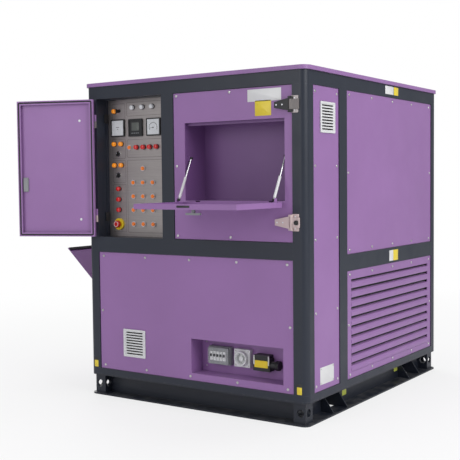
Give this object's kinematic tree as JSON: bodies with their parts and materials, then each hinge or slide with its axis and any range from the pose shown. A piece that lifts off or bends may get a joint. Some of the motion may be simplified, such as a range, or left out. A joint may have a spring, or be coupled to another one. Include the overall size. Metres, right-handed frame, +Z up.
{
  "type": "generator load bank",
  "caption": "Cabinet load bank on a forklift skid, with an open control door, a fold-down front hatch on gas struts, a socket recess and louvred sides.",
  "frame": {"origin": "centre of the cabinet's footprint, on the ground under the skid", "axes": "+X to the operator's right, +Y to the rear, +Z up; the control face looks along -Y"},
  "size_m": [1.7514, 2.076, 1.745],
  "materials": {
    "base_paint": "satin slate base paint",
    "frame_paint": "satin powder coat, dark blue grey",
    "panel_paint": "satin powder coat, lavender",
    "screw_steel": "zinc plated",
    "white_plastic": "moulded, fine texture",
    "grey_plastic": "moulded grey",
    "black_metal": "die-cast, black",
    "control_plate_steel": "brushed stainless",
    "black_plastic": "moulded black",
    "lamp_lens": "translucent red, amber and white lenses",
    "bezel_chrome": "bright plated",
    "red_plastic": "moulded red",
    "orange_plastic": "translucent orange caps",
    "hinge_metal": "black coated steel",
    "strut_paint": "light coated tube",
    "fan_aluminium": "cast",
    "element_steel": "heat-tinted stainless tube",
    "terminal_brass": "plated studs on an insulating board"
  },
  "bodies": {
    "cabinet": {"skid_beams": "base_paint", "fork_pockets": "base_paint", "corner_posts": "frame_paint", "frame_rails": "frame_paint", "roof_cover": "panel_paint", "lower_front_panel": "panel_paint", "right_narrow_panel": "panel_paint", "right_upper_panel": "panel_paint", "right_louver_panel": "panel_paint", "left_hatch_panel": "panel_paint", "left_rear_panel": "panel_paint", "rear_louver_panel": "panel_paint", "panel_screws": "screw_steel", "vent_grilles": "white_plastic", "socket_recess_box": "panel_paint", "breaker_box": "grey_plastic", "socket_outlet": "white_plastic", "cable_connector": "black_metal", "control_bay_box": "frame_paint", "control_panel": "control_plate_steel", "panel_meters": "black_plastic", "pilot_lamps": "lamp_lens", "button_bezels": "bezel_chrome", "fixed_hinge_leaves": "hinge_metal", "fan_housing": "base_paint", "resistor_racks": "screw_steel", "heating_elements": "element_steel", "contactor_plate": "grey_plastic", "power_terminals": "terminal_brass"},
    "control_door": {"control_door": "panel_paint"},
    "door_latch": {"door_latch": "screw_steel"},
    "access_door": {"access_panel": "panel_paint", "strap_hinge_straps": "hinge_metal", "hatch_box": "panel_paint"},
    "flap": {"flap": "panel_paint"},
    "flap_handle": {"flap_handle": "grey_plastic"},
    "strut_rod_left": {"strut_rod_left": "bezel_chrome"},
    "strut_rod_right": {"strut_rod_right": "bezel_chrome"},
    "strut_cylinder_left": {"strut_cylinder_left": "strut_paint"},
    "strut_cylinder_right": {"strut_cylinder_right": "strut_paint"},
    "left_flap": {"left_flap": "panel_paint"},
    "estop_button": {"estop_button": "red_plastic"},
    "key_switch": {"key_switch": "screw_steel"},
    "selector_upper": {"selector_upper": "black_plastic"},
    "selector_lower": {"selector_lower": "black_plastic"},
    "fan_impeller": {"fan_impeller": "fan_aluminium"},
    "step_button_01": {"step_button_01": "orange_plastic"},
    "step_button_02": {"step_button_02": "orange_plastic"},
    "step_button_03": {"step_button_03": "orange_plastic"},
    "step_button_04": {"step_button_04": "orange_plastic"},
    "step_button_05": {"step_button_05": "orange_plastic"},
    "step_button_06": {"step_button_06": "orange_plastic"},
    "step_button_07": {"step_button_07": "orange_plastic"},
    "step_button_08": {"step_button_08": "orange_plastic"},
    "step_button_09": {"step_button_09": "orange_plastic"},
    "step_button_10": {"step_button_10": "orange_plastic"},
    "step_button_11": {"step_button_11": "orange_plastic"},
    "step_button_12": {"step_button_12": "orange_plastic"},
    "master_button": {"master_button": "orange_plastic"},
    "aux_button": {"aux_button": "orange_plastic"}
  },
  "joints": [
    {"name": "control_door_hinge", "type": "hinge", "parent": "cabinet", "child": "control_door", "pos_m": [-0.625, -0.835, 1.27], "axis": [0, 0, 1], "range_deg": [-6, 158.3]},
    {"name": "door_latch_turn", "type": "hinge", "parent": "control_door", "child": "door_latch", "pos_m": [-1.00652, -0.99867, 1.2], "axis": [0.3697, -0.9291, 0], "range_deg": [0, 90]},
    {"name": "access_door_hinge", "type": "hinge", "parent": "cabinet", "child": "access_door", "pos_m": [0.623, -0.835, 1.27], "axis": [0, 0, 1], "range_deg": [0, 100]},
    {"name": "flap_hinge", "type": "hinge", "parent": "access_door", "child": "flap", "pos_m": [0.281, -0.817, 1.068], "axis": [-1, 0, 0], "range_deg": [0, 90]},
    {"name": "flap_handle_turn", "type": "hinge", "parent": "flap", "child": "flap_handle", "pos_m": [0.311, -1.201, 1.046], "axis": [0, 0, 1], "range_deg": [0, 90]},
    {"name": "left_flap_hinge", "type": "hinge", "parent": "cabinet", "child": "left_flap", "pos_m": [-0.708, -0.36, 0.526], "axis": [0, 1, 0], "range_deg": [0, 47.7]},
    {"name": "estop_press", "type": "slide", "parent": "cabinet", "child": "estop_button", "axis": [0, 1, 0], "range_m": [0, 0.006]},
    {"name": "key_turn", "type": "hinge", "parent": "cabinet", "child": "key_switch", "pos_m": [-0.541, -0.738, 1.588], "axis": [0, 1, 0], "range_deg": [-90, 90]},
    {"name": "selector_upper_turn", "type": "hinge", "parent": "cabinet", "child": "selector_upper", "pos_m": [-0.55, -0.738, 1.352], "axis": [0, 1, 0], "range_deg": [-45, 45]},
    {"name": "selector_lower_turn", "type": "hinge", "parent": "cabinet", "child": "selector_lower", "pos_m": [-0.55, -0.738, 1.233], "axis": [0, 1, 0], "range_deg": [-45, 45]},
    {"name": "fan_spin", "type": "hinge", "parent": "cabinet", "child": "fan_impeller", "pos_m": [0.48, 0.1775, 0.437], "axis": [1, 0, 0], "continuous": true},
    {"name": "strut_left_swing", "type": "hinge", "parent": "access_door", "child": "strut_rod_left", "pos_m": [-0.003, -0.787, 1.313], "axis": [1, 0, 0], "range_deg": [0, 28.42]},
    {"name": "strut_left_stroke", "type": "slide", "parent": "strut_rod_left", "child": "strut_cylinder_left", "axis": [0, 0.4621, 0.8868], "range_m": [0, 0.07668]},
    {"name": "strut_right_swing", "type": "hinge", "parent": "access_door", "child": "strut_rod_right", "pos_m": [0.565, -0.787, 1.313], "axis": [1, 0, 0], "range_deg": [0, 28.42]},
    {"name": "strut_right_stroke", "type": "slide", "parent": "strut_rod_right", "child": "strut_cylinder_right", "axis": [0, 0.4621, 0.8868], "range_m": [0, 0.07668]},
    {"name": "step_button_01_press", "type": "slide", "parent": "cabinet", "child": "step_button_01", "axis": [0, 1, 0], "range_m": [0, 0.004], "stiffness_N_per_m": 400, "springref_m": -0.001},
    {"name": "step_button_02_press", "type": "slide", "parent": "cabinet", "child": "step_button_02", "axis": [0, 1, 0], "range_m": [0, 0.004], "stiffness_N_per_m": 400, "springref_m": -0.001},
    {"name": "step_button_03_press", "type": "slide", "parent": "cabinet", "child": "step_button_03", "axis": [0, 1, 0], "range_m": [0, 0.004], "stiffness_N_per_m": 400, "springref_m": -0.001},
    {"name": "step_button_04_press", "type": "slide", "parent": "cabinet", "child": "step_button_04", "axis": [0, 1, 0], "range_m": [0, 0.004], "stiffness_N_per_m": 400, "springref_m": -0.001},
    {"name": "step_button_05_press", "type": "slide", "parent": "cabinet", "child": "step_button_05", "axis": [0, 1, 0], "range_m": [0, 0.004], "stiffness_N_per_m": 400, "springref_m": -0.001},
    {"name": "step_button_06_press", "type": "slide", "parent": "cabinet", "child": "step_button_06", "axis": [0, 1, 0], "range_m": [0, 0.004], "stiffness_N_per_m": 400, "springref_m": -0.001},
    {"name": "step_button_07_press", "type": "slide", "parent": "cabinet", "child": "step_button_07", "axis": [0, 1, 0], "range_m": [0, 0.004], "stiffness_N_per_m": 400, "springref_m": -0.001},
    {"name": "step_button_08_press", "type": "slide", "parent": "cabinet", "child": "step_button_08", "axis": [0, 1, 0], "range_m": [0, 0.004], "stiffness_N_per_m": 400, "springref_m": -0.001},
    {"name": "step_button_09_press", "type": "slide", "parent": "cabinet", "child": "step_button_09", "axis": [0, 1, 0], "range_m": [0, 0.004], "stiffness_N_per_m": 400, "springref_m": -0.001},
    {"name": "step_button_10_press", "type": "slide", "parent": "cabinet", "child": "step_button_10", "axis": [0, 1, 0], "range_m": [0, 0.004], "stiffness_N_per_m": 400, "springref_m": -0.001},
    {"name": "step_button_11_press", "type": "slide", "parent": "cabinet", "child": "step_button_11", "axis": [0, 1, 0], "range_m": [0, 0.004], "stiffness_N_per_m": 400, "springref_m": -0.001},
    {"name": "step_button_12_press", "type": "slide", "parent": "cabinet", "child": "step_button_12", "axis": [0, 1, 0], "range_m": [0, 0.004], "stiffness_N_per_m": 400, "springref_m": -0.001},
    {"name": "master_button_press", "type": "slide", "parent": "cabinet", "child": "master_button", "axis": [0, 1, 0], "range_m": [0, 0.004], "stiffness_N_per_m": 400, "springref_m": -0.001},
    {"name": "aux_button_press", "type": "slide", "parent": "cabinet", "child": "aux_button", "axis": [0, 1, 0], "range_m": [0, 0.004], "stiffness_N_per_m": 400, "springref_m": -0.001}
  ],
  "couplings": [
    {"joint": "strut_left_swing", "follows": "flap_hinge", "ratio": 0.3136},
    {"joint": "strut_left_stroke", "follows": "flap_hinge", "m_per_rad": 0.048495},
    {"joint": "strut_right_swing", "follows": "flap_hinge", "ratio": 0.3136},
    {"joint": "strut_right_stroke", "follows": "flap_hinge", "m_per_rad": 0.048495}
  ]
}
